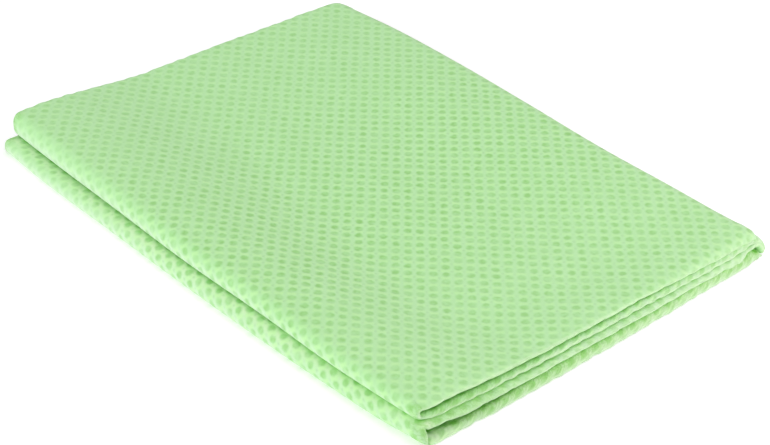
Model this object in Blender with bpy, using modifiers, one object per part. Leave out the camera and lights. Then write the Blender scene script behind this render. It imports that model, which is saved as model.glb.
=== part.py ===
"""A sports towel: one cut sheet of soft absorbent cloth, folded back and forth into four layers.

Units are metres, +Z is up. X runs along the packet's long side, Y across it.
The origin is the middle of the packet's footprint, on the surface that it rests on.
Layer 0 is the top one and layer 3 lies on the surface. The two near folds are at -Y, the far fold at +Y.
"""

import math
from collections import namedtuple

import bmesh
import bpy
import numpy as np

MM = 0.001

# Driving dimensions
PACKET_LENGTH = 302 * MM  # along X, the width of the cloth before it was folded
SHEET_THICKNESS = 2.6 * MM
FOLD_CLEARANCE = 0.8 * MM  # between the two near folds, one on the other
FAR_BEND_REACH = 16 * MM  # the far edge of the upper three layers bends down over this width
FAR_BEND_POWER = 4
FAR_FOLD_CLEARANCE = 0.4 * MM  # under the far fold
NEAR_FOLD_LIFT = 0.3 * MM  # the bottom layer rises by this much into the lower near fold
NEAR_FOLD_LIFT_LENGTH = 8 * MM
FAR_RISE_START = 25 * MM  # from here to the far side the layers lift a little
FAR_RISE_END = 85 * MM
NEAR_RAMP_END = 13 * MM  # the ramp reaches the crest this far inside the upper fold
END_ROLL_LENGTH = 9 * MM  # the cut ends roll down over this length
END_ROLL = 0.07  # share of the stack's height lost at the cut ends
CORNER_ROUNDING = 6 * MM  # how much the far corner at -X is drawn in
CORNER_REACH = 16 * MM

# How finely the sheet is divided
LAYER_STEPS = 20
FOLD_STEPS = 8
LENGTH_STEPS = 20

# Cross-sections along the packet, in mm. along: share of the length from -X to +X.
# crest: top of the near edge. middle: top of the middle. far: top near the far edge.
# ramp: Y where the climb to the crest starts. groove: height between the two near folds.
# upper_fold, lower_fold, far_fold: Y of each fold's outermost point.
Section = namedtuple("Section", "along crest middle far ramp groove upper_fold lower_fold far_fold")
SECTIONS = (
    Section(0.00, 20.4, 14.2, 15.4, -16, 7.8, -101.4, -106.6, 115.0),
    Section(0.12, 21.3, 13.6, 14.8, -17, 8.3, -103.9, -109.2, 118.6),
    Section(0.30, 21.0, 12.6, 14.5, -24, 8.8, -106.4, -110.8, 118.3),
    Section(0.48, 20.5, 12.5, 14.4, -34, 9.3, -108.9, -112.4, 115.2),
    Section(0.68, 20.2, 12.7, 14.5, -42, 9.8, -109.5, -113.1, 110.7),
    Section(0.83, 19.8, 13.0, 14.8, -42, 10.4, -110.8, -112.6, 109.1),
    Section(0.94, 19.4, 13.6, 14.9, -38, 11.0, -110.3, -111.6, 107.5),
    Section(1.00, 18.6, 14.0, 14.4, -34, 11.2, -109.6, -110.4, 107.0),
)

# One row for each layer, in mm. share: place in the stack's height, 1 at the top.
# Ends in X at the near and the far side, short_of_fold: how far its free edge stops inside the far fold.
Layer = namedtuple("Layer", "share minus_near minus_far plus_near plus_far short_of_fold")
LAYERS = (
    Layer(1.0, -152.4, -145.4, 146.0, 151.0, 8.0),
    Layer(2 / 3, -151.0, -146.6, 147.5, 152.2, 0.0),
    Layer(1 / 3, -151.8, -147.4, 148.3, 153.0, 0.0),
    Layer(0.0, -152.6, -148.6, 149.4, 153.8, 11.5),
)
BOTTOM = len(LAYERS) - 1


def smooth_step(value):
    """0 below 0, 1 above 1 and an even curve between."""
    value = min(max(value, 0.0), 1.0)
    return value * value * (3 - 2 * value)


def section_at(along):
    """The cross-section at a share of the length, on a smooth curve through the rows of SECTIONS."""
    places = np.array([row.along for row in SECTIONS])
    values = np.array([row[1:] for row in SECTIONS]) * MM
    slopes = np.gradient(values, places, axis=0)
    k = min(int(np.searchsorted(places, along, side="right")) - 1, len(places) - 2)
    span = places[k + 1] - places[k]
    t = (along - places[k]) / span
    start, end = values[k], values[k + 1]
    blend = smooth_step(t)
    curve = (1 - blend) * start + blend * end
    curve = curve + span * t * (1 - t) * ((1 - t) * slopes[k] - t * slopes[k + 1])
    return Section(along, *curve)


def layer_height(section, number, y):
    """Height of the middle of a layer's thickness, before the far edge bends down."""
    layer = LAYERS[number]
    half = SHEET_THICKNESS / 2
    groove_side = half + FOLD_CLEARANCE / 2
    near = (section.crest - half, section.groove + groove_side, section.groove - groove_side, half)[number]
    if number == BOTTOM:
        into_fold = section.lower_fold + NEAR_FOLD_LIFT_LENGTH - y
        return half + NEAR_FOLD_LIFT * smooth_step(into_fold / NEAR_FOLD_LIFT_LENGTH)
    middle = half + layer.share * (section.middle - SHEET_THICKNESS)
    far = half + layer.share * (section.far - SHEET_THICKNESS)
    crest_y = section.upper_fold + NEAR_RAMP_END
    climb = smooth_step((section.ramp - y) / (section.ramp - crest_y))
    lift = smooth_step((y - FAR_RISE_START) / (FAR_RISE_END - FAR_RISE_START))
    return middle + climb * (near - middle) + lift * (far - middle)


def even_to_ends(count):
    """Shares from 0 to 1 that stand closer together towards both ends."""
    return [0.5 - 0.5 * math.cos(math.pi * step / count) for step in range(count + 1)]


def layer_run(section, number, start, end):
    """(Y, height, layer number) along a layer, both ends included."""
    ys = [start + (end - start) * share for share in even_to_ends(LAYER_STEPS)]
    return [(y, layer_height(section, number, y), number) for y in ys]


def fold_run(upper, lower, outward):
    """Half an ellipse from the end of the upper layer round to the lower layer, its ends left out."""
    radius = (upper[1] - lower[1]) / 2
    middle = (upper[1] + lower[1]) / 2
    points = []
    for step in range(1, FOLD_STEPS):
        share = step / FOLD_STEPS
        angle = math.pi * share
        y = upper[0] + (lower[0] - upper[0]) * share + outward * radius * math.sin(angle)
        points.append((y, middle + radius * math.cos(angle), upper[2] + share))
    return points


def fold_root(section, outermost, upper, inward):
    """Y where a fold leaves its layers, so that its outer face reaches outermost."""
    y = outermost + inward * SHEET_THICKNESS
    for _ in range(4):
        radius = (layer_height(section, upper, y) - layer_height(section, upper + 1, y)) / 2
        y = outermost + inward * (SHEET_THICKNESS / 2 + radius)
    return y


def bent_down(section, y, height):
    """Carries a point along as the far edge bends down to the surface; what lies across the layers is kept.
    The layers bend as far as the middle of their fold, which then stands straight out at that slope."""
    inside = section.far_fold - FAR_BEND_REACH
    if y <= inside:
        return y, height
    second = layer_height(section, 1, y)
    third = layer_height(section, 2, y)
    neutral = (second + third) / 2
    outer_radius = (second - third + SHEET_THICKNESS) / 2
    bent = FAR_BEND_REACH - outer_radius
    depth = neutral - outer_radius - FAR_FOLD_CLEARANCE
    along = min(y - inside, bent)
    drop = depth * (along / bent) ** FAR_BEND_POWER
    slope = depth * FAR_BEND_POWER / bent * (along / bent) ** (FAR_BEND_POWER - 1)
    cosine = 1 / math.hypot(1, slope)
    sine = slope * cosine
    above = height - neutral
    beyond = y - inside - along
    return inside + along + beyond * cosine + above * sine, neutral - drop + above * cosine - beyond * sine


def folded_section(section):
    """The whole back-and-forth line of the cloth, from the top layer's free edge to the bottom one's."""
    upper_root = fold_root(section, section.upper_fold, 0, 1)
    far_root = fold_root(section, section.far_fold, 1, -1)
    lower_root = fold_root(section, section.lower_fold, 2, 1)
    top_edge = section.far_fold - LAYERS[0].short_of_fold * MM
    bottom_edge = section.far_fold - LAYERS[BOTTOM].short_of_fold * MM
    runs = [
        layer_run(section, 0, top_edge, upper_root),
        layer_run(section, 1, upper_root, far_root),
        layer_run(section, 2, far_root, lower_root),
        layer_run(section, BOTTOM, lower_root, bottom_edge),
    ]
    line = list(runs[0])
    for number, outward in ((0, -1), (1, 1), (2, -1)):
        line += fold_run(runs[number][-1], runs[number + 1][0], outward)
        line += runs[number + 1]
    return [(*bent_down(section, y, height), number) if number < BOTTOM else (y, height, number)
            for y, height, number in line]


def end_place(number, y, far_fold, side):
    """X of the cut end at a place on the line; number may lie between two layers, on a fold."""
    upper = LAYERS[int(number)]
    lower = LAYERS[min(int(number) + 1, len(LAYERS) - 1)]
    share = number - int(number)
    across = smooth_step((y + far_fold) / (2 * far_fold))
    ends = []
    for layer in (upper, lower):
        near, far = (layer.minus_near, layer.minus_far) if side < 0 else (layer.plus_near, layer.plus_far)
        ends.append(near + (far - near) * across)
    place = (ends[0] + (ends[1] - ends[0]) * share) * MM
    if side < 0:
        place += CORNER_ROUNDING * smooth_step(1 - (far_fold - y) / CORNER_REACH)
    return place


def end_roll(along):
    """Share of the stack's height that is left at a share of the length."""
    from_end = min(along, 1 - along) * PACKET_LENGTH
    return 1 - END_ROLL * smooth_step(1 - from_end / END_ROLL_LENGTH)


def folded_sheet():
    """The middle surface of the cloth, as an open grid of faces."""
    mesh = bmesh.new()
    rows = []
    for along in even_to_ends(LENGTH_STEPS):
        section = section_at(along)
        roll = end_roll(along)
        row = []
        for y, height, number in folded_section(section):
            start = end_place(number, y, section.far_fold, -1)
            end = end_place(number, y, section.far_fold, 1)
            rolled = SHEET_THICKNESS / 2 + (height - SHEET_THICKNESS / 2) * roll
            row.append(mesh.verts.new((start + (end - start) * along, y, rolled)))
        rows.append(row)
    for row, next_row in zip(rows, rows[1:]):
        for k in range(len(row) - 1):
            mesh.faces.new((row[k], next_row[k], next_row[k + 1], row[k + 1]))
    return mesh


def cloth_material():
    material = bpy.data.materials.new("green_cloth")
    material.use_nodes = True
    shader = material.node_tree.nodes["Principled BSDF"]
    shader.inputs["Base Color"].default_value = (0.45, 0.78, 0.36, 1)
    shader.inputs["Roughness"].default_value = 0.85
    shader.inputs["Metallic"].default_value = 0
    return material


def make_towel(collection):
    data = bpy.data.meshes.new("towel")
    mesh = folded_sheet()
    centre_footprint(mesh)
    mesh.to_mesh(data)
    mesh.free()
    data.materials.append(cloth_material())
    data.shade_smooth()
    towel = bpy.data.objects.new("towel", data)
    collection.objects.link(towel)
    thickness = towel.modifiers.new("thickness", "SOLIDIFY")
    thickness.thickness = SHEET_THICKNESS
    thickness.offset = 0
    thickness.use_even_offset = True
    return towel


def centre_footprint(mesh):
    """Moves the sheet so that the middle of its footprint, with the folds' thickness, is at X = Y = 0."""
    half = SHEET_THICKNESS / 2
    xs = [vertex.co.x for vertex in mesh.verts]
    ys = [vertex.co.y for vertex in mesh.verts]
    shift_x = (min(xs) + max(xs)) / 2
    shift_y = (min(ys) - half + max(ys) + half) / 2
    for vertex in mesh.verts:
        vertex.co.x -= shift_x
        vertex.co.y -= shift_y


def main():
    for thing in list(bpy.data.objects):
        bpy.data.objects.remove(thing, do_unlink=True)
    collection = bpy.data.collections.new("sports_towel")
    bpy.context.scene.collection.children.link(collection)
    make_towel(collection)


main()
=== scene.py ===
import math

import bpy
import numpy as np
from mathutils import Euler, Matrix, Vector


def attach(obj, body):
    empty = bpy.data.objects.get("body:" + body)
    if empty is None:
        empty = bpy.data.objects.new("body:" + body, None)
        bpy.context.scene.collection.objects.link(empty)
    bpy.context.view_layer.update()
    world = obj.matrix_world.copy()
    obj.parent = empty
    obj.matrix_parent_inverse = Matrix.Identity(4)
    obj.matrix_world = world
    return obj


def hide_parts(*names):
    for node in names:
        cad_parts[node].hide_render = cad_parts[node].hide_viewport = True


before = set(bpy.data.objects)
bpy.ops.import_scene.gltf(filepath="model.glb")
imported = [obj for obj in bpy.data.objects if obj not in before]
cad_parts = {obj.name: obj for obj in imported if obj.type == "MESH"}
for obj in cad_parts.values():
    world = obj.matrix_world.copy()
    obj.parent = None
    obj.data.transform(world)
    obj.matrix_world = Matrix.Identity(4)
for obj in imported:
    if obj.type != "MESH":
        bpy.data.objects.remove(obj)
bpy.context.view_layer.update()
mm = 0.001
print("frame loaded")


# the camera stands in front of the near long side and the right-hand end
cameraSet = dict(
    place=(0.5878, -0.5539, 0.5225),
    turn=46.46,  # degrees to the left of +Y
    down=33.53,
    roll=1.11,
    lens=94.1,
    sensor=36,
    nearest=0.01,
)


def makeCamera(chosen):
    data = bpy.data.cameras.new("camera")
    data.lens = chosen["lens"]
    data.sensor_width = chosen["sensor"]
    data.clip_start = chosen["nearest"]
    turned = Euler((math.radians(90 - chosen["down"]), 0, math.radians(chosen["turn"]))).to_matrix()
    rolled = turned @ Matrix.Rotation(math.radians(chosen["roll"]), 3, "Z")
    camera = bpy.data.objects.new("camera", data)
    camera.matrix_world = Matrix.Translation(chosen["place"]) @ rolled.to_4x4()
    bpy.context.scene.collection.objects.link(camera)
    bpy.context.scene.camera = camera


makeCamera(cameraSet)
print("camera placed")


# one node: its type, its settings and what its sockets take, by name or number
def addNode(tree, kind, settings, sockets):
    node = tree.nodes.new("ShaderNode" + kind)
    for setting, given in settings.items():
        setattr(node, setting, given)
    for name, given in sockets.items():
        socket = node.inputs[name]
        if isinstance(given, Value):
            tree.links.new(given.socket, socket)
        else:
            socket.default_value = given
    return node


# shader maths: an expression on values adds its Math nodes
class Value:
    def __init__(self, tree, socket):
        self.tree = tree
        self.socket = socket

    def maths(self, operation, *others, swap=False):
        inputs = [self, *others]
        if swap:
            inputs.reverse()
        node = addNode(self.tree, "Math", dict(operation=operation), dict(enumerate(inputs)))
        return Value(self.tree, node.outputs[0])

    def __add__(self, other):
        return self.maths("ADD", other)

    def __radd__(self, other):
        return self.maths("ADD", other)

    def __sub__(self, other):
        return self.maths("SUBTRACT", other)

    def __rsub__(self, other):
        return self.maths("SUBTRACT", other, swap=True)

    def __mul__(self, other):
        return self.maths("MULTIPLY", other)

    def __rmul__(self, other):
        return self.maths("MULTIPLY", other)

    def __truediv__(self, other):
        return self.maths("DIVIDE", other)

    def __pow__(self, other):
        return self.maths("POWER", other)

    def least(self, other):
        return self.maths("MINIMUM", other)

    # how far the value lies from the nearest whole number
    def fromWhole(self):
        return self.maths("PINGPONG", 0.5)

    # 0 below low, 1 above high, smooth between
    def rise(self, low, high):
        sockets = {"Value": self, "From Min": low, "From Max": high}
        node = addNode(self.tree, "MapRange", dict(interpolation_type="SMOOTHSTEP"), sockets)
        return Value(self.tree, node.outputs["Result"])


# a material; in the names of sockets an underscore stands for a space
class Finish:
    def __init__(self, name, **constants):
        self.material = bpy.data.materials.new(name)
        self.material.use_nodes = True
        self.tree = self.material.node_tree
        self.shader = self.tree.nodes["Principled BSDF"]
        for socket, given in constants.items():
            self.shader.inputs[socket.replace("_", " ")].default_value = given

    # gives the node's output called out
    def node(self, kind, out=0, settings=(), **sockets):
        named = {name.replace("_", " "): given for name, given in sockets.items()}
        return Value(self.tree, addNode(self.tree, kind, dict(settings), named).outputs[out])

    def parts(self, vector):
        node = addNode(self.tree, "SeparateXYZ", {}, {0: vector})
        return [Value(self.tree, socket) for socket in node.outputs]

    def mix(self, share, first, second):
        colours = [(*given, 1) if isinstance(given, tuple) else given for given in (first, second)]
        sockets = {0: share, 6: colours[0], 7: colours[1]}  # the places of the share and the colours
        node = addNode(self.tree, "Mix", dict(data_type="RGBA"), sockets)
        return Value(self.tree, node.outputs[2])

    def feed(self, socket, value):
        self.tree.links.new(value.socket, self.shader.inputs[socket])


# plain pale floor and soft light from the camera's side
stageSet = dict(
    floorSize=8.0,
    floorColour=(0.94, 0.94, 0.94, 1),
    floorRoughness=0.9,
    floorGloss=0.1,
    floorGlow=0.3,  # the floor is lit from below as well, so it stays white
    worldColour=(1.0, 1.0, 1.0, 1),
    worldStrength=0.36,
    # name, place, size across, watts, colour
    lights=(
        ("overhead", (0.25, 0.1, 1.5), 2.0, 10.4, (1.0, 1.0, 1.0)),
        ("key", (-0.35, -1.75, 0.72), 1.2, 17.6, (0.95, 0.84, 1.0)),
        ("far", (0.75, 0.4, 0.33), 0.5, 3.4, (1.0, 0.65, 1.0)),
    ),
    lookAt=(-0.0007, -0.0016, 0.01),
)


def makeFloor(chosen):
    half = chosen["floorSize"] / 2
    corners = [(-half, -half, 0), (half, -half, 0), (half, half, 0), (-half, half, 0)]
    data = bpy.data.meshes.new("floor")
    data.from_pydata(corners, [], [(0, 1, 2, 3)])
    floor = bpy.data.objects.new("floor", data)
    bpy.context.scene.collection.objects.link(floor)
    paint = Finish(
        "floor_paint", Base_Color=chosen["floorColour"], Roughness=chosen["floorRoughness"],
        Specular_IOR_Level=chosen["floorGloss"], Emission_Color=chosen["floorColour"],
        Emission_Strength=chosen["floorGlow"])
    data.materials.append(paint.material)


def makeLight(name, place, size, watts, colour, lookAt):
    lamp = bpy.data.lights.new(name, "AREA")
    lamp.shape = "DISK"
    lamp.size = size
    lamp.energy = watts
    lamp.color = colour
    light = bpy.data.objects.new(name, lamp)
    light.location = place
    towards = Vector(lookAt) - Vector(place)
    light.rotation_mode = "QUATERNION"
    light.rotation_quaternion = towards.to_track_quat("-Z", "Y")
    bpy.context.scene.collection.objects.link(light)


def makeStage(chosen):
    makeFloor(chosen)
    world = bpy.data.worlds.new("world")
    bpy.context.scene.world = world
    world.use_nodes = True
    background = world.node_tree.nodes["Background"]
    background.inputs["Color"].default_value = chosen["worldColour"]
    background.inputs["Strength"].default_value = chosen["worldStrength"]
    for light in chosen["lights"]:
        makeLight(*light, chosen["lookAt"])
    bpy.context.scene.view_settings.view_transform = "Standard"


makeStage(stageSet)
print("stage and lights placed")


# the folded cloth, in mm; the columns run from the -X end to the +X end, the layers from the top (0) down
towel = dict(
    length=302,
    thickness=2.9,
    centre=(0.6, 3.0),  # what the footprint is moved by
    # the section across the packet at places along it, as shares of the length
    along=(0.00, 0.12, 0.30, 0.48, 0.68, 0.83, 0.94, 1.00),
    crest=(20.4, 21.3, 21.0, 20.5, 20.2, 19.8, 19.4, 18.6),  # top of the near edge
    middle=(14.2, 13.6, 12.6, 12.5, 12.7, 13.0, 13.6, 14.0),  # and of the middle and the far side
    far=(15.4, 14.8, 14.5, 14.4, 14.5, 14.8, 14.9, 14.4),
    ramp=(-16, -17, -24, -34, -42, -42, -38, -34),  # Y where the climb to the crest starts
    groove=(7.8, 8.3, 8.8, 9.3, 9.8, 10.4, 11.2, 11.6),  # height between the two near folds
    upperFold=(-101.4, -103.9, -106.4, -108.9, -109.5, -110.8, -110.3, -109.6),
    lowerFold=(-106.6, -109.2, -110.8, -112.4, -113.1, -112.6, -111.6, -110.4),
    farFold=(115.0, 118.6, 118.3, 115.2, 110.7, 109.1, 107.5, 107.0),
    rampEnd=13,  # and how far from the upper fold it ends
    foldClearance=0.3,
    nearLift=(0.3, 8),  # the bottom layer at the lower fold: how much and over what distance
    farRise=(25, 85),  # Y where the middle's height turns into the far side's
    # the far edge bends down over the bottom layer
    farBend=16,
    farBendPower=4,
    farClearance=0.4,
    topShort=8.0,  # how far the free edges stop short of the far fold
    bottomShort=4.0,
    underFold=0.5,  # room left between the bottom layer and the far fold over it
    underFoldFrom=3,  # how far before the bend the bottom layer gives way
    underFoldLowest=0.4,
    underFoldPinch=0.25,  # share of the thickness counted at the free edge
    underFoldSteps=60,
    # how the layers rise towards their cut ends: near side, middle and far side of each
    riseReach=(26, 7),
    rise=((0.0, 0.9, 0.7), (0.0, 1.5, 1.6), (0.6, 2.0, 2.6), (0.9, 2.5, 3.6)),
    minusShare=0.4,
    # cut ends at places across the packet, one row for each layer
    across=(-105, -97, -91, -70, -40, 0, 45, 72, 89, 92.5, 96, 101),
    minusEnd=(
        (-153.5, -153.5, -153.5, -153.3, -152.9, -151.8, -149.8, -147.2, -146.4, -146.0, -145.7, -145.4),
        (-151.8, -151.8, -151.8, -151.8, -151.6, -151.0, -149.6, -147.8, -147.2, -147.0, -146.8, -146.6),
        (-153.4, -153.4, -153.3, -152.8, -152.2, -151.4, -150.0, -148.4, -148.0, -147.8, -147.6, -147.4),
        (-154.2, -154.2, -154.1, -153.6, -153.0, -152.2, -151.0, -149.6, -149.2, -149.0, -148.8, -148.6),
    ),
    plusEnd=(
        (145.7, 146.0, 146.3, 147.1, 148.0, 148.8, 150.2, 150.9, 151.0, 151.0, 151.0, 151.0),
        (147.1, 147.4, 147.7, 148.5, 149.2, 150.3, 151.4, 152.0, 152.1, 152.1, 152.0, 151.8),
        (148.0, 148.2, 148.5, 149.5, 150.4, 151.5, 152.4, 152.8, 152.8, 152.7, 152.6, 152.2),
        (149.0, 149.3, 149.6, 150.9, 151.8, 152.9, 153.3, 153.6, 153.6, 153.5, 153.3, 152.6),
    ),
    # heights of the edges at the +X end, and how far those at the -X end curl down
    plusHeight=(
        (16.6, 16.9, 16.9, 15.9, 15.0, 13.9, 12.3, 11.6, 11.0, 10.7, 10.5, 10.2),
        (12.8, 12.5, 12.3, 11.6, 10.9, 9.9, 9.3, 9.1, 9.2, 9.5, 9.7, 9.5),
        (7.7, 8.2, 6.9, 6.2, 5.9, 5.7, 5.4, 5.3, 5.6, 8.4, 9.5, 9.6),
        (0.6, 0.6, 0.6, 0.6, 0.6, 0.6, 0.6, 0.6, 0.6, 0.6, 0.6, 0.6),
    ),
    minusDrop=(1.1, 1.1, 1.3, 1.8),
    curlReach=5.0,
    # corners rounded in plan, at the upper and the lower fold: how much and over what distance
    nearCorner=((2.3, 11), (4.0, 11)),
    minusNearCorner=((1.2, 7), (0.4, 7)),
    farCorner=(6.0, 16),
    cornerPower=1.5,
    # the lower half of the lower fold is cut back less, so it wraps round the corner
    wrapLess=0.75,
    wrapFrom=(2.1, 2.6),
    # the pinched edge
    edgeThickness=0.7,
    pinchReach=3.2,
    # the cut edges are wavy with the embossed repeat, and drift without one
    seeds=(2.3, 0.7),  # of the -X end and the +X end
    strengthSeed=3,  # added for the waves' strength
    waves=((0.093, 0.4), (0.171, 1.9), (0.287, 4.1), (0.463, 2.6)),  # rate in each mm, and shift
    waveSum=2.4,
    scallop=0.36,
    scallopDrift=0.9,
    scallopSame=0.6,  # shares of the wave that are the same everywhere and uneven
    scallopUneven=0.4,
    edgeDrift=0.25,
    edgeFade=(9, 2),  # over what distance the waves fade, and their power
    # they open a little between the layers
    opening=0.75,
    openAt=(
        (0.2, 0.7, 0.8, 0.7, 0.55, 0.45, 0.3, 0.2, 0.1, 0.0, 0.0, 0.0),
        (0.0, 0.1, 0.1, 0.1, 0.05, 0.05, 0.0, 0.0, 0.0, 0.0, 0.0, 0.0),
        (0.0, 0.3, 0.8, 1.0, 0.7, 0.5, 0.7, 0.6, 0.3, 0.0, 0.0, 0.0),
        (0.0, 0.1, 0.1, 0.1, 0.1, 0.1, 0.1, 0.1, 0.1, 0.0, 0.0, 0.0),
    ),
    openShares=(0.5, 1),  # at the -X end and the +X end
    openFrom=0.25,  # added to the wave
    openMost=1.2,
    openFade=(5.5, 1.5),
    # the top layer's free edge
    freeCurl=1.6,
    freeCurlReach=6,
    # soft troughs and ridges on the top: x, y, radius along, radius across, height
    creases=(
        (-82, -62, 26, 9, 0.35),
        (-120, 28, 30, 10, 0.25),
        (-60, 8, 36, 12, -0.25),
        (20, -48, 34, 10, 0.3),
        (62, 60, 40, 24, 0.35),
        (118, -10, 12, 70, -0.3),
        (-20, 84, 50, 12, 0.2),
        (-134, -40, 14, 40, 0.3),
    ),
    # the embossed repeat
    repeat=(8.1, 7.7),
    repeatStart=(54.3, 1.5),
    # mesh spacing
    endColumns=(0, 0.35, 0.8, 1.4, 2.1, 2.9, 3.8, 4.8, 6.0, 7.5, 9.5, 12, 15.5, 20),
    columnStep=7.0,
    flatRow=1.15,
    foldRow=0.55,
    fineReach=9.6,  # every row is kept this near the cut ends, every second one between
    lowest=0.02,  # no point is lower than this
)


def smooth(value):
    value = np.clip(value, 0, 1)
    return value * value * (3 - 2 * value)


# 0 at the first of a pair of places, 1 at the second, smooth between; the first may be the larger
def between(value, places):
    start, full = places
    return smooth((value - start) / (full - start))


# 1 at no distance, 0 at the reach
def fading(distance, reach, power):
    return np.clip(1 - distance / reach, 0, 1) ** power


# 1 at 0, falling along a quarter of a circle to 0 at 1
def quarter(value):
    return 1 - np.sqrt(1 - fading(value, 1, 1) ** 2)


# a smooth curve through values at places
def curveAt(places, values, at):
    places, values = np.array(places, float), np.array(values, float)
    span = np.diff(places)
    k = np.clip(np.searchsorted(places, at, side="right") - 1, 0, len(places) - 2)
    s = np.clip((at - places[k]) / span[k], 0, 1)
    slope = np.gradient(values, places)
    bend = (1 - s) * slope[k] - s * slope[k + 1]
    return values[k] + smooth(s) * (values[k + 1] - values[k]) + span[k] * s * (1 - s) * bend


# the columns as shares of the length, close together beside the cut ends
def columnShares():
    length = towel["length"]
    ends = towel["endColumns"]
    middle = length - 2 * ends[-1]
    count = round(middle / towel["columnStep"])
    places = [place / length for place in ends]
    places += [(ends[-1] + middle * k / count) / length for k in range(1, count)]
    places += [1 - place / length for place in reversed(ends)]
    return np.array(places)


shares = columnShares()
sectionNames = ("crest", "middle", "far", "ramp", "groove", "upperFold", "lowerFold", "farFold")
section = {name: curveAt(towel["along"], towel[name], shares) for name in sectionNames}
fromMinus = shares * towel["length"]
fromPlus = (1 - shares) * towel["length"]
half = towel["thickness"] / 2
bottomLayer = 3


# height of the middle of a layer's thickness
def layerHeight(layer, y):
    stack = 1 - layer / bottomLayer
    middle = half + stack * (section["middle"] - towel["thickness"])
    far = half + stack * (section["far"] - towel["thickness"])
    climb = between(y, (section["ramp"], section["upperFold"] + towel["rampEnd"]))
    farShare = between(y, towel["farRise"])
    if layer == bottomLayer:
        lift, reach = towel["nearLift"]
        height = half + lift * between(y, (section["lowerFold"] + reach, section["lowerFold"]))
    else:
        clear = half + towel["foldClearance"] / 2
        near = (section["crest"] - half, section["groove"] + clear, section["groove"] - clear)[layer]
        height = middle + climb * (near - middle) + farShare * (far - middle)
    reach = towel["riseReach"]
    ends = between(fromPlus, reach) + towel["minusShare"] * between(fromMinus, reach)
    near, middle, far = towel["rise"][layer]
    return height + ends * (middle + climb * (near - middle) + farShare * (far - middle))


# Y where a fold leaves its layers, so that its outer face reaches the outermost place
def foldRoot(outermost, upper, inward):
    rounds = 4  # enough for Y to settle
    y = outermost + inward * towel["thickness"]
    for _ in range(rounds):
        radius = (layerHeight(upper, y) - layerHeight(upper + 1, y)) / 2
        y = outermost + inward * (half + radius)
    return y


# an even number of steps, so that every second row can be left out
def evenSteps(length, step):
    return 2 * round(length / step / 2)


def flatRows(layer, start, end):
    count = evenSteps(abs(end - start).mean(), towel["flatRow"])
    share = np.linspace(0, 1, count + 1)[:, None]
    y = start + (end - start) * share
    return y, layerHeight(layer, y), np.full_like(y, layer)


def foldRows(upper, lower, outward):
    radius = (upper[1][-1] - lower[1][0]) / 2
    middle = (upper[1][-1] + lower[1][0]) / 2
    count = evenSteps(math.pi * radius.mean(), towel["foldRow"])
    share = (np.arange(1, count) / count)[:, None]
    y = upper[0][-1] + (lower[0][0] - upper[0][-1]) * share + outward * radius * np.sin(math.pi * share)
    return y, middle + radius * np.cos(math.pi * share), upper[2][-1] + share + 0 * y


# the upper three layers bend down to the surface at the far edge
def bentDown(y, z):
    inside = section["farFold"] - towel["farBend"]
    power = towel["farBendPower"]
    second, third = layerHeight(1, y), layerHeight(2, y)
    neutral = (second + third) / 2
    outer = (second - third + towel["thickness"]) / 2
    bent = towel["farBend"] - outer
    depth = neutral - outer - towel["farClearance"]
    along = np.clip(y - inside, 0, bent)
    drop = depth * (along / bent) ** power
    slope = depth * power / bent * (along / bent) ** (power - 1)
    cosine = 1 / np.hypot(1, slope)
    sine = slope * cosine
    above = z - neutral
    beyond = y - inside - along
    moved = y > inside
    newY = np.where(moved, inside + along + beyond * cosine + above * sine, y)
    return newY, np.where(moved, neutral - drop + above * cosine - beyond * sine, z)


# Y, Z and layer number down the cloth, from the free edge on top to the one below; between two whole
# numbers the cloth goes round a fold
def foldedLine():
    upperRoot = foldRoot(section["upperFold"], 0, 1)
    farRoot = foldRoot(section["farFold"], 1, -1)
    lowerRoot = foldRoot(section["lowerFold"], 2, 1)
    topEdge = section["farFold"] - towel["topShort"]
    bottomEdge = section["farFold"] - towel["bottomShort"]
    runs = [
        flatRows(0, topEdge, upperRoot),
        flatRows(1, upperRoot, farRoot),
        flatRows(2, farRoot, lowerRoot),
        flatRows(bottomLayer, lowerRoot, bottomEdge),
    ]
    pieces = [runs[0]]
    for k, outward in enumerate((-1, 1, -1)):
        pieces += [foldRows(runs[k], runs[k + 1], outward), runs[k + 1]]
    return [np.vstack(part) for part in zip(*pieces)]


# the underside of the bent layers, as the height over a place across the packet
def underFold(y):
    inside = section["farFold"] - towel["farBend"]
    found = np.empty_like(y)
    steps = np.linspace(0, towel["farBend"], towel["underFoldSteps"])[:, None]
    third = layerHeight(2, inside + steps)
    under, height = bentDown(inside + steps, third - half)
    for c in range(y.shape[1]):
        order = np.argsort(under[:, c])
        found[:, c] = np.interp(y[:, c], under[order, c], height[order, c])
    return found


# rows of values, one for each layer, at layer numbers that may lie between two layers
def atLayers(rows, number):
    last = len(rows) - 1
    low = np.clip(np.floor(number).astype(int), 0, last)
    high = np.minimum(low + 1, last)
    share = number - low
    first = np.take_along_axis(rows, low[None], axis=0)[0]
    second = np.take_along_axis(rows, high[None], axis=0)[0]
    return first + share * (second - first)


# a table with a row for each layer, at places across the packet and layer numbers
def fromTable(table, y, number):
    rows = np.array([curveAt(towel["across"], row, y) for row in table])
    return atLayers(rows, number)


# uneven, without a repeat: a slow sum of waves between about -1 and 1
def uneven(place, seed):
    total = sum(np.sin(rate * place + shift * seed + seed) for rate, shift in towel["waves"])
    return total / towel["waveSum"]


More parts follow.
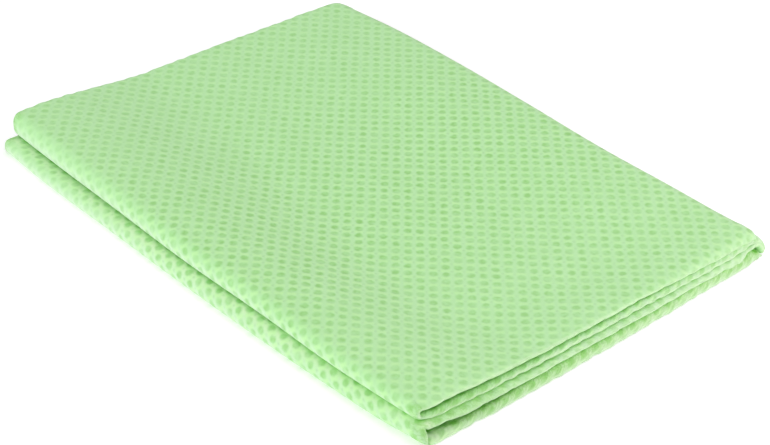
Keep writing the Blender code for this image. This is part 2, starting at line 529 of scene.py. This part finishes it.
# X of a cut end, with the corners rounded
def endPlace(side, y, number):
    plus = side == "plusEnd"
    place = fromTable(towel[side], y, number)
    inward = -1 if plus else 1
    kept = 1 - towel["wrapLess"] * between(number, towel["wrapFrom"]) if plus else 1
    corners = towel["nearCorner" if plus else "minusNearCorner"]
    upperHalf = number <= bottomLayer / 2
    for (most, reach), fold, here in zip(corners, ("upperFold", "lowerFold"), (upperHalf, ~upperHalf)):
        cut = most * kept * smooth(1 - (y - section[fold]) / reach) ** towel["cornerPower"]
        place = place + here * inward * cut
    if not plus:
        most, reach = towel["farCorner"]
        place = place + most * smooth(1 - (section["farFold"] - y) / reach) ** towel["cornerPower"]
    return place


y, z, number = foldedLine()
rows, columns = y.shape
minusX, plusX = endPlace("minusEnd", y, number), endPlace("plusEnd", y, number)
x = minusX + (plusX - minusX) * shares

# length along the cloth, from y = 0 on the top layer
step = np.hypot(np.diff(y, axis=0), np.diff(z, axis=0))
lengthV = np.vstack([np.zeros(columns), np.cumsum(step, axis=0)])
topRows = number[:, 0] == 0
for c in range(columns):
    lengthV[:, c] -= np.interp(0, -y[topRows, c], lengthV[topRows, c])
fromTop = lengthV - lengthV[0]
fromFree = np.minimum(fromTop, lengthV[-1] - lengthV)

# the cut ends curl down and are a little wavy
repeatU, repeatV = towel["repeat"]
startU, startV = towel["repeatStart"]
foldShare = number - np.floor(number)
turn = math.pi * foldShare
curlAcross = np.where((number > 1) & (number < 2), -1.0, 1.0)
openness = fromTable(towel["openAt"], y, number)
plusHeights = [curveAt(towel["across"], row, y) for row in towel["plusHeight"]]
plusDrops = [layerHeight(k, y) - height for k, height in enumerate(plusHeights)]
minusDrop = np.interp(number, range(bottomLayer + 1), towel["minusDrop"])
drops = minusDrop, atLayers(np.array(plusDrops), number)
for end, (fromEnd, outward) in enumerate(((fromMinus, -1), (fromPlus, 1))):
    seed = towel["seeds"][end]
    drift = uneven(lengthV, seed)
    strength = uneven(lengthV, seed + towel["strengthSeed"])
    strength = towel["scallopSame"] + towel["scallopUneven"] * strength
    wave = np.cos(2 * math.pi * (lengthV + startV) / repeatV + towel["scallopDrift"] * drift) * strength
    lifted = towel["opening"] * openness * np.clip(wave + towel["openFrom"], 0, towel["openMost"])
    lifted = lifted * fading(fromEnd, *towel["openFade"]) * towel["openShares"][end]
    amount = drops[end] * quarter(fromEnd / towel["curlReach"]) - lifted
    z = z - amount * np.abs(np.cos(turn))
    y = y + amount * curlAcross * np.sin(turn) * (foldShare > 0)
    edgeWave = towel["scallop"] * wave + towel["edgeDrift"] * drift
    x = x + outward * edgeWave * fading(fromEnd, *towel["edgeFade"])

# the free edge on top curls down too
z = z - towel["freeCurl"] * quarter(fromTop / towel["freeCurlReach"])

onTop = number < 0.5  # the top layer and the first half of its fold
for cx, cy, rx, ry, height in towel["creases"]:
    z = z + height * np.exp(-(((x - cx) / rx) ** 2) - ((y - cy) / ry) ** 2) * onTop

# the far edge bends down, and the end of the bottom layer stays below it
bentY, bentZ = bentDown(y, z)
y, z = np.where(number <= 2, bentY, y), np.where(number <= 2, bentZ, z)
counted = np.clip(fromFree / towel["pinchReach"], towel["underFoldPinch"], 1)
room = underFold(y) - towel["underFold"] - half * counted
below = (number == bottomLayer) & (y > section["farFold"] - towel["farBend"] - towel["underFoldFrom"])
z = np.where(below, np.minimum(z, np.maximum(room, towel["underFoldLowest"])), z)
flatLength = float((lengthV[-1] - lengthV[0]).mean())
print("sheet worked out:", rows, "rows,", columns, "columns, flat length", round(flatLength, 1), "mm")


# share of the thickness left at a distance from an edge
def pinch(distance):
    least = towel["edgeThickness"] / towel["thickness"]
    return least + (1 - least) * (1 - quarter(distance / towel["pinchReach"]))


# face A is the outside of the two near folds, face B the other side of the cloth
def clothFaces(grid, thick):
    downRow = np.gradient(grid, axis=0)
    downColumn = np.gradient(grid, axis=1)
    normal = np.cross(downRow, downColumn)
    normal /= np.linalg.norm(normal, axis=2)[..., None]
    centred = grid - np.array((*towel["centre"], 0))
    faces = centred + normal * thick[..., None] / 2, centred - normal * thick[..., None] / 2
    for face in faces:
        face[..., 2] = np.maximum(face[..., 2], towel["lowest"])
    return faces


# places on the cloth itself, by lengths along a face, so that the repeat isn't stretched
def clothPlaces(face):
    alongRow = np.linalg.norm(np.diff(face, axis=1), axis=2)
    u = np.concatenate([np.zeros((rows, 1)), np.cumsum(alongRow, axis=1)], axis=1)
    mid = columns // 2
    u += face[:, [mid], 0] - u[:, [mid]]
    acrossRow = np.linalg.norm(np.diff(face[..., 1:], axis=0), axis=2)
    v = np.vstack([np.zeros(columns), np.cumsum(acrossRow, axis=0)])
    for c in range(columns):
        v[:, c] -= np.interp(towel["centre"][1], -face[topRows, c, 1], v[topRows, c])
    return u, v


fromEnds = np.minimum(fromMinus, fromPlus)[None, :] + 0 * y
thick = towel["thickness"] * np.minimum(pinch(fromEnds), pinch(fromFree))
sides = clothFaces(np.stack([x, y, z], axis=-1), thick)


# where the two faces change colour, in mm, painted shade and painted highlights among them; a pair of
# places is where a change starts and is complete
tints = dict(
    # from a cut edge or a free edge
    # painted shade between the layers, from a cut edge or a free edge inwards
    paintedShade=(0.9, 3.2),  # the faces between the layers turn deep green
    # painted highlight: a thin pale line along the edge
    edgeHighlight=(0.6, 0.0),  # the edge itself is pale
    # from a cut edge
    worn=(4.5, 1.2),  # the pressed dots are faint
    wornFaceA=0.35,
    wornFaceB=0.2,
    # painted shade on the curled ends, which are ribbed as well
    stripShadeAndRibs=(6.5, 3.0),  # the curled ends show a darker, ribbed side
    ends=12,  # what belongs to the +X end alone stops here
    # how far under a cover, from its edge, the painted shade between the layers starts
    underUpperFold=(0.6, 4.1),
    underTop=(0.5, 3.5),
    undersideFrom=2.5,  # layer number from which face A is the packet's underside
    # painted highlight: round the two near folds the cloth is painted pale, like a sheen, less so towards
    # +X
    upperHighlight=(0.25, 0.75),  # shares of the turn
    lowerHighlight=(0.1, 0.6),
    lowerHighlightShare=0.7,
    lessHighlight=0.45,
    lessHighlightAt=(20, 110),
    # and the dots are worn, more so towards -X
    foldWorn=0.15,
    foldWornMinus=0.15,
    wornMinus=0.3,
    wornMinusAt=(20, -130),
    wornPlus=0.18,  # on top only
    wornPlusAt=(30, 110),
    onTop=0.3,  # layer number that counts as the top
    # how dark the painted shade on the strips is: the upper layers', then the bottom layer's
    stripShadeDepth=1.25,
    stripLess=0.9,
    stripLessAt=(-95, -25),
    lowShadeDepth=1.8,
    lowLess=0.8,
    lowLessAt=(-90, 50),
    lowMore=0.5,
    lowMoreAt=(55, 80),
    lowFoot=0.4,  # what is left of it at the foot
    lowFootAt=(0.8, 3.3),
    stripFrom=0.02,  # the top layer shows no strip
    bottom=2.9,  # layer number that counts as the bottom layer
    # the painted highlight and the painted bright green that show where a strip's painted shade isn't dark
    thirdHighlight=0.45,
    secondHighlight=0.4,
    lowHighlight=0.9,
    lowHighlightAt=(2.6, 0.4),
    lowLitGreen=0.5,
    lowLitGreenAt=(0.6, 2.6),
    # painted light: bright green on the lower fold's upper half, below the upper fold, where its overhang
    # shades it
    litGreenTurn=(0.45, 0.05),
    litGreenInside=(9, 5),  # Y from the outermost place of the upper fold
    litGreenOutside=(-3.4, 0),
    # painted shade of the slit over the bottom layer at the far corner of the +X end, which falls towards
    # +Y
    slitStrength=1.5,
    slitHeight=6.3,
    slitY=94,  # where it has that height
    slitSlope=-0.48,
    slitHalf=(1.5, 0.5),
    slitStart=(91.8, 93.3),
    slitEnd=(107, 105),
    slitReach=9,
    # the lower fold runs on round the near corner, below a slit that opens along the end and is painted as
    # shade
    cornerFrom=2.3,  # layer number
    cornerAt=(-86, -92),
    footAt=(-103, -90),
    foot=(4.0, 1.2),  # from the cut edge, at those two places
    footSoft=(0, 0.8),
    wrappedLitGreen=0.6,
    wrappedLess=0.6,
)


# the cloth's changes of colour over the two faces: worn dots, painted shade and painted light
def clothLooks(tint):
    fromOpen = np.minimum(fromEnds, fromFree)
    fromUpperFold = y - section["upperFold"]
    besideStrip = between(fromEnds, tint["stripShadeAndRibs"])
    upperFace, lowerFace = (number > 0) & (number < 1), (number > 2) & (number < 3)
    second, third, bottom = number == 1, number == 2, number > tint["bottom"]
    nearPlus = fromPlus < tint["ends"]

    # painted shade between the layers: the hidden faces are painted a darker, deep green
    inside = between(fromOpen, tint["paintedShade"])
    underUpper = between(fromUpperFold, tint["underUpperFold"])
    underTop = between(y[0] - y, tint["underTop"])
    paintedShadeA = inside * np.where(number >= 2, underUpper * (number < tint["undersideFrom"]), number > 1)
    paintedShadeB = inside * np.where(second, underTop, (number < 1) | (number >= 2))

    # painted highlight round the two near folds, and worn dots
    lessHighlight = 1 - tint["lessHighlight"] * between(x, tint["lessHighlightAt"])
    upperHighlight = between(foldShare, tint["upperHighlight"]) * upperFace
    lowerHighlight = tint["lowerHighlightShare"] * between(foldShare, tint["lowerHighlight"]) * lowerFace
    towardsMinus = between(x, tint["wornMinusAt"])
    onTop = number < tint["onTop"]
    faint = tint["wornMinus"] * towardsMinus + tint["wornPlus"] * between(x, tint["wornPlusAt"]) * onTop
    faint = faint + (tint["foldWorn"] + tint["foldWornMinus"] * towardsMinus) * (upperFace | lowerFace)

    # painted shade on the strips at the cut ends
    stripShadeDepth = tint["stripShadeDepth"] - tint["stripLess"] * between(y, tint["stripLessAt"])
    notDark = 1 - stripShadeDepth / tint["stripShadeDepth"]
    lowShadeDepth = tint["lowShadeDepth"] - tint["lowLess"] * between(y, tint["lowLessAt"])
    lowShadeDepth = lowShadeDepth + tint["lowMore"] * between(y, tint["lowMoreAt"])
    lowShadeDepth = lowShadeDepth * (tint["lowFoot"] + (1 - tint["lowFoot"]) * between(z, tint["lowFootAt"]))

    # painted shade in the slits at the two corners of the +X end
    slitHeight = tint["slitHeight"] + tint["slitSlope"] * (y - tint["slitY"])
    slitShade = tint["slitStrength"] * between(abs(z - slitHeight), tint["slitHalf"])
    slitShade = slitShade * between(y, tint["slitStart"]) * between(y, tint["slitEnd"])
    slitShade = slitShade * (fromPlus < tint["slitReach"])
    aroundCorner = (number > tint["cornerFrom"]) * between(y, tint["cornerAt"]) * nearPlus
    foot = np.interp(y, tint["footAt"], tint["foot"])
    slitShadeNearCorner = aroundCorner * between(fromPlus - foot, tint["footSoft"])
    wrapped = aroundCorner - slitShadeNearCorner

    # painted highlight along the cut and free edges
    edgeHighlight = between(fromOpen, tint["edgeHighlight"]) * (1 - lowerFace * nearPlus)
    besideWorn = between(fromEnds, tint["worn"])
    # where the painted bright green goes, below the upper fold
    litGreenPlace = between(fromUpperFold, tint["litGreenInside"]) * between(fromUpperFold, tint["litGreenOutside"])
    faceA = dict(
        paintedShade=paintedShadeA,
        edgeHighlight=edgeHighlight,
        worn=np.maximum(besideWorn * tint["wornFaceA"], faint),
        stripShadeAndRibs=besideStrip * (number > tint["stripFrom"]) * stripShadeDepth,
        paleHighlight=(upperHighlight + lowerHighlight) * lessHighlight + tint["thirdHighlight"] * besideStrip * third * notDark,
        litGreen=(third | lowerFace) * between(foldShare, tint["litGreenTurn"]) * litGreenPlace,
    )
    # the bottom layer's strip: painted highlight towards the floor, painted bright green higher up
    lowHighlight = tint["lowHighlight"] * (1 - wrapped) * between(z, tint["lowHighlightAt"])
    lowLitGreen = np.maximum(tint["lowLitGreen"] * between(z, tint["lowLitGreenAt"]), wrapped * tint["wrappedLitGreen"])
    faceB = dict(
        paintedShade=np.maximum(np.maximum(paintedShadeB * (1 - wrapped), slitShadeNearCorner), slitShade * bottom),
        edgeHighlight=edgeHighlight,
        worn=np.maximum(besideWorn * tint["wornFaceB"], faint),
        stripShadeAndRibs=besideStrip * np.where(bottom, lowShadeDepth, stripShadeDepth) * (1 - tint["wrappedLess"] * wrapped),
        paleHighlight=besideStrip * np.where(bottom, lowHighlight, tint["secondHighlight"] * second * notDark),
        litGreen=besideStrip * bottom * lowLitGreen,
    )
    return faceA, faceB


# fine rows near the cut ends, every second row between
fine = np.minimum(fromMinus, fromPlus) <= towel["fineReach"]
ids = -np.ones((2, rows, columns), int)
points = []
uvs = []
lookNames = ("paintedShade", "edgeHighlight", "worn", "stripShadeAndRibs", "paleHighlight", "litGreen")
looks = {name: [] for name in lookNames}
for side, (face, look) in enumerate(zip(sides, clothLooks(tints))):
    u, v = clothPlaces(face)
    for r in range(rows):
        for c in range(columns):
            if fine[c] or r % 2 == 0:
                ids[side, r, c] = len(points)
                points.append(face[r, c] * mm)
                uvs.append((u[r, c] * mm, v[r, c] * mm))
                for name in lookNames:
                    looks[name].append(look[name][r, c])


# two rows between two columns, with the points that each column has
def panel(n, r, c):
    if fine[c] and fine[c + 1]:
        return [(n[k, c], n[k + 1, c], n[k + 1, c + 1], n[k, c + 1]) for k in (r, r + 1)]
    down = [n[k, c] for k in (r, r + 1, r + 2) if n[k, c] >= 0]
    up = [n[k, c + 1] for k in (r + 2, r + 1, r) if n[k, c + 1] >= 0]
    return [(*down, *up)]


def clothPanels():
    found = []
    for c in range(columns - 1):
        for r in range(0, rows - 1, 2):
            found += panel(ids[0], r, c)
    for c in range(columns - 1):
        for r in range(0, rows - 1, 2):
            found += [tuple(reversed(loop)) for loop in panel(ids[1], r, c)]
    a, b = ids
    for r in range(rows - 1):
        found.append((a[r, 0], b[r, 0], b[r + 1, 0], a[r + 1, 0]))
        found.append((b[r, -1], a[r, -1], a[r + 1, -1], b[r + 1, -1]))
    for c in range(columns - 1):
        found.append((b[0, c], a[0, c], a[0, c + 1], b[0, c + 1]))
        found.append((a[-1, c], b[-1, c], b[-1, c + 1], a[-1, c + 1]))
    return found


panels = clothPanels()
data = bpy.data.meshes.new("folded_towel")
data.from_pydata(points, [], panels)
data.validate()
clothMap = data.uv_layers.new(name="Cloth")
corners = np.empty(len(data.loops), int)
data.loops.foreach_get("vertex_index", corners)
clothMap.data.foreach_set("uv", np.array(uvs)[corners].ravel())
for name, values in looks.items():
    data.attributes.new(name, "FLOAT", "POINT").data.foreach_set("value", values)
data.shade_smooth()
folded = bpy.data.objects.new("folded_towel", data)
bpy.context.scene.collection.objects.link(folded)
print("towel mesh:", len(points), "points,", sum(len(loop) - 2 for loop in panels), "triangles")


# green napped cloth with pressed round dots, in mm across the cloth
clothSet = dict(
    ground=(0.50, 0.885, 0.42),
    bar=(0.555, 0.97, 0.38),  # the raised bars between neighbouring dots
    dot=(0.37, 0.78, 0.265),
    darkDot=(0.290, 0.67, 0.180),
    pore=(0.41, 0.75, 0.34),
    # painted shade: deep green between the layers, and a darker green deepest in the gaps
    paintedShade=(0.26, 0.68, 0.13),  # between the layers
    darkestShade=(0.11, 0.48, 0.03),
    # painted highlight along the edges
    edgeHighlight=(0.60, 0.93, 0.50),
    # painted highlight, a pale sheen
    paleHighlight=(0.75, 0.90, 0.73),
    # painted light: a bright green in shaded places
    litGreen=(0.76, 0.99, 0.62),
    # painted shade on the strips at the cut ends
    stripShadeAndRibs=(0.27, 0.66, 0.15),
    # how much each colour covers
    cover=dict(paleHighlight=0.9, litGreen=0.85, bar=0.65, pore=0.6, mottle=0.10, drift=0.12, edgeHighlight=0.6),
    stripCover=(0.18, 0.25, 0.15),  # everywhere, on the ribs and on the dots
    # how much the painted shade between the layers and its darkest part cover
    paintedShadeCover=(0.55, 0.4),  # everywhere and on the dots
    darkestShadeCover=(0.45, 0.4),
    darkestShadeFrom=(0.6, 1.0),  # of the deep tint
    dotCover=(0.55, 0.45),  # on every dot, and on the stronger ones
    dotStronger=(0.34, 0.62),
    dotMottle=(0.35, 0.65),
    mottle=(0.3, 0.7),
    # noises: scale for each mm and detail
    noises=dict(
        warp=(0.16, 1.0), fine=(0.5, 2.0), drift=(0.045, 2.0), single=(0.15, 1.0), mottle=(0.33, 2.0),
        nap=(2.4, 3.0)),
    pull=(1.1, 1.2),  # how far the warp and the fine noise pull the repeat about
    dotRadius=1.85,
    dotVaries=0.8,
    soft=0.75,
    # bars and pores, as shares of the way from dot to dot
    barAlong=(0.18, 0.45),
    barAcross=(0.2, 0.48),
    poreAlong=(0.3, 0.5),
    poreAcross=(0.32, 0.5),
    poreVaries=(0.35, 0.6),
    ribPitch=2.2,
    ribVaries=3.0,
    ribSoft=(0.1, 0.9),
    # heights
    dimple=0.18,
    dimpleFrom=0.2,
    dimpleBeyond=0.9,  # how far past the dot's radius its side reaches
    poreDepth=0.12,
    nap=0.10,
    rib=0.1,
    roughness=0.9,
    gloss=0.15,
    sheen=0.30,
    sheenRoughness=0.45,
)


def clothFinish(cloth):
    paint = Finish(
        "green_cloth", Roughness=cloth["roughness"], Specular_IOR_Level=cloth["gloss"],
        Sheen_Weight=cloth["sheen"], Sheen_Roughness=cloth["sheenRoughness"])
    flat = paint.node("UVMap", settings=dict(uv_map="Cloth"))
    u, v, _ = paint.parts(flat)
    u, v = u * (1 / mm), v * (1 / mm)
    place = paint.node("CombineXYZ", X=u, Y=v)
    paintedShade, edgeHighlight, worn, stripShadeAndRibs, paleHighlight, litGreen = [
        paint.node("Attribute", out="Fac", settings=dict(attribute_name=name)) for name in lookNames]

    def noise(name, out=0):
        scale, detail = cloth["noises"][name]
        return paint.node("TexNoise", out=out, Vector=place, Scale=scale, Detail=detail)

    # places in the repeat, which is pulled about a little
    warpU, warpV, _ = paint.parts(noise("warp", out="Color"))
    fineU, fineV, _ = paint.parts(noise("fine", out="Color"))
    warpPull, finePull = cloth["pull"]
    a = (u - startU + (warpU - 0.5) * warpPull + (fineU - 0.5) * finePull) / repeatU
    b = (v + startV + (warpV - 0.5) * warpPull + (fineV - 0.5) * finePull) / repeatV

    # the distance to the nearest dot; every second row of dots is shifted by half a repeat
    def nearest(shift):
        acrossU = (a + shift).fromWhole() * repeatU
        acrossV = (b + shift).fromWhole() * repeatV
        return (acrossU * acrossU + acrossV * acrossV) ** 0.5

    drift = noise("drift")
    single = noise("single")
    mottle = noise("mottle")
    fromDot = nearest(0).least(nearest(0.5)) + (single - 0.5) * cloth["dotVaries"]
    radius, soft = cloth["dotRadius"], cloth["soft"]
    along, across = (a + b).fromWhole(), (a - b).fromWhole()
    shown = 1 - worn
    dot = 1 - fromDot.rise(radius - soft, radius + soft)
    bar = along.rise(*cloth["barAlong"]) * (1 - across.rise(*cloth["barAcross"])) * shown
    pore = along.rise(*cloth["poreAlong"]) * across.rise(*cloth["poreAcross"])
    pore = pore * single.rise(*cloth["poreVaries"]) * shown
    everyDot, strongerDot = cloth["dotCover"]
    dotCover = dot * (everyDot + strongerDot * single.rise(*cloth["dotStronger"])) * shown
    dotColour = paint.mix(mottle.rise(*cloth["dotMottle"]), cloth["dot"], cloth["darkDot"])

    cover = cloth["cover"]
    # painted highlight round the folds and on the strips
    colour = paint.mix(paleHighlight * cover["paleHighlight"], cloth["ground"], cloth["paleHighlight"])
    # painted light: bright green below the upper fold and on the bottom strip
    colour = paint.mix(litGreen * cover["litGreen"], colour, cloth["litGreen"])
    colour = paint.mix(bar * cover["bar"], colour, cloth["bar"])
    colour = paint.mix(dotCover, colour, dotColour)
    colour = paint.mix(pore * cover["pore"], colour, cloth["pore"])
    colour = paint.mix(mottle.rise(*cloth["mottle"]) * cover["mottle"], colour, cloth["dot"])
    colour = paint.mix(drift.rise(*cloth["mottle"]) * cover["drift"], colour, cloth["dot"])

    # painted shade on the strips of layers at the cut ends, ribbed across
    rib = (v / cloth["ribPitch"] + (fineU - 0.5) * cloth["ribVaries"]).fromWhole() * 2
    base, onRibs, onDots = cloth["stripCover"]
    stripShare = base + onRibs * rib.rise(*cloth["ribSoft"]) + onDots * dot
    colour = paint.mix(stripShadeAndRibs * stripShare, colour, cloth["stripShadeAndRibs"])

    # painted shade between the layers, darkest deep in the gaps
    base, onDots = cloth["paintedShadeCover"]
    colour = paint.mix(paintedShade * (base + onDots * dot), colour, cloth["paintedShade"])
    base, onDots = cloth["darkestShadeCover"]
    colour = paint.mix(paintedShade.rise(*cloth["darkestShadeFrom"]) * (base + onDots * dot), colour, cloth["darkestShade"])
    # painted highlight along the edges
    colour = paint.mix(edgeHighlight * cover["edgeHighlight"], colour, cloth["edgeHighlight"])
    paint.feed("Base Color", colour)

    dimple = fromDot.rise(cloth["dimpleFrom"], radius + cloth["dimpleBeyond"])
    height = dimple * cloth["dimple"] * shown - pore * cloth["poreDepth"]
    height = height + noise("nap") * cloth["nap"] + stripShadeAndRibs * rib * cloth["rib"]
    paint.feed("Normal", paint.node("Bump", Height=height, Strength=1.0, Distance=mm))
    return paint.material


data.materials.append(clothFinish(clothSet))
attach(folded, "root")
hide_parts("towel")
print("cloth finish made")
